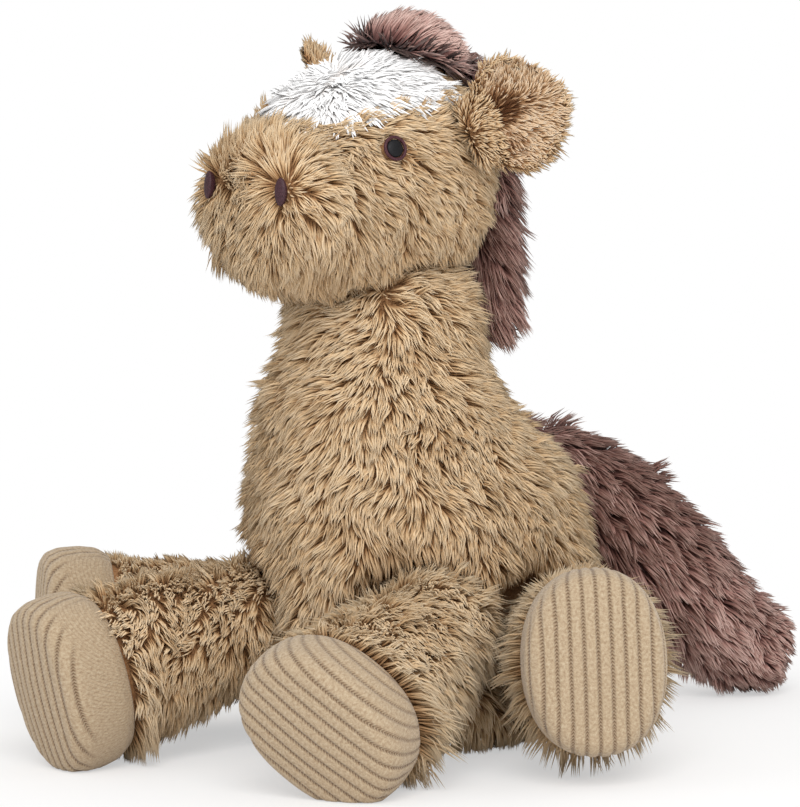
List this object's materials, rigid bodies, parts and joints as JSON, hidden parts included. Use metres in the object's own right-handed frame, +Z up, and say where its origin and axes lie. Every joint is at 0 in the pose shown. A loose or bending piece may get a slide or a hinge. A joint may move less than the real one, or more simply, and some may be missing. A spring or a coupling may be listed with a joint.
{
  "type": "plush horse",
  "caption": "Seated plush horse with a shaggy tan coat, ribbed knit hooves, sewn ears, a brown mane and tail and a white forehead patch.",
  "frame": {"origin": "on the floor under the middle of the seat, between the hips", "axes": "+Z up, -Y the way the horse faces, +X towards its left side"},
  "size_m": [0.3514, 0.3656, 0.3298],
  "materials": {
    "tan_plush": "long tan pile on a knitted backing",
    "white_plush": "white pile on a knitted backing",
    "brown_shag": "long mauve brown pile",
    "rib_knit": "wide ribs of beige knit with darker grooves",
    "short_plush": "short brown pile",
    "polyester_fibre": "loose white fibre filling",
    "black_thread": "satin stitch",
    "brown_thread": "satin stitch",
    "maroon_thread": "satin stitch"
  },
  "bodies": {
    "body": {"body_cover": "tan_plush", "body_stuffing": "polyester_fibre"},
    "head": {"head_cover": "tan_plush", "head_stuffing": "polyester_fibre", "blaze": "white_plush", "forelock": "brown_shag", "mane": "brown_shag", "left_eye": "black_thread", "left_eye_ring": "brown_thread", "right_eye": "black_thread", "right_eye_ring": "brown_thread", "left_nostril": "maroon_thread", "right_nostril": "maroon_thread"},
    "left_ear": {"left_ear": "tan_plush", "left_ear_lining": "short_plush"},
    "right_ear": {"right_ear": "tan_plush", "right_ear_lining": "short_plush"},
    "tail": {"tail": "brown_shag"},
    "front_left_leg": {"front_left_leg_cover": "tan_plush", "front_left_leg_stuffing": "polyester_fibre", "front_left_hoof": "rib_knit"},
    "front_right_leg": {"front_right_leg_cover": "tan_plush", "front_right_leg_stuffing": "polyester_fibre", "front_right_hoof": "rib_knit"},
    "hind_left_leg": {"hind_left_leg_cover": "tan_plush", "hind_left_leg_stuffing": "polyester_fibre", "hind_left_hoof": "rib_knit"},
    "hind_right_leg": {"hind_right_leg_cover": "tan_plush", "hind_right_leg_stuffing": "polyester_fibre", "hind_right_hoof": "rib_knit"}
  },
  "joints": [
    {"name": "neck_nod", "type": "hinge", "parent": "body", "child": "head", "pos_m": [0, -0.033, 0.188], "axis": [1, 0, 0], "range_deg": [-10, 15]},
    {"name": "left_ear_fold", "type": "hinge", "parent": "head", "child": "left_ear", "pos_m": [0.05358, -0.0291, 0.2768], "axis": [-0.3388, -0.1307, 0.9317], "range_deg": [-18, 18], "stiffness_Nm_per_rad": 0.03},
    {"name": "right_ear_fold", "type": "hinge", "parent": "head", "child": "right_ear", "pos_m": [-0.04208, -0.01904, 0.28184], "axis": [0.2349, -0.292, 0.9271], "range_deg": [-18, 18], "stiffness_Nm_per_rad": 0.03},
    {"name": "front_left_leg_lift", "type": "hinge", "parent": "body", "child": "front_left_leg", "pos_m": [0.05396, -0.07108, 0.058], "axis": [-0.9816, -0.1908, 0], "range_deg": [0, 28]},
    {"name": "front_right_leg_lift", "type": "hinge", "parent": "body", "child": "front_right_leg", "pos_m": [-0.05106, -0.0741, 0.058], "axis": [-0.9455, 0.3256, 0], "range_deg": [0, 28]},
    {"name": "hind_left_leg_lift", "type": "hinge", "parent": "body", "child": "hind_left_leg", "pos_m": [0.07569, -0.0027, 0.046], "axis": [-0.7071, -0.7071, 0], "range_deg": [-5, 28]},
    {"name": "hind_right_leg_lift", "type": "hinge", "parent": "body", "child": "hind_right_leg", "pos_m": [-0.0761, -0.01, 0.046], "axis": [-0.788, 0.6157, 0], "range_deg": [-3, 28]},
    {"name": "tail_lift", "type": "hinge", "parent": "body", "child": "tail", "pos_m": [0, 0.06144, 0.116], "axis": [1, 0, 0], "range_deg": [0, 35]}
  ]
}
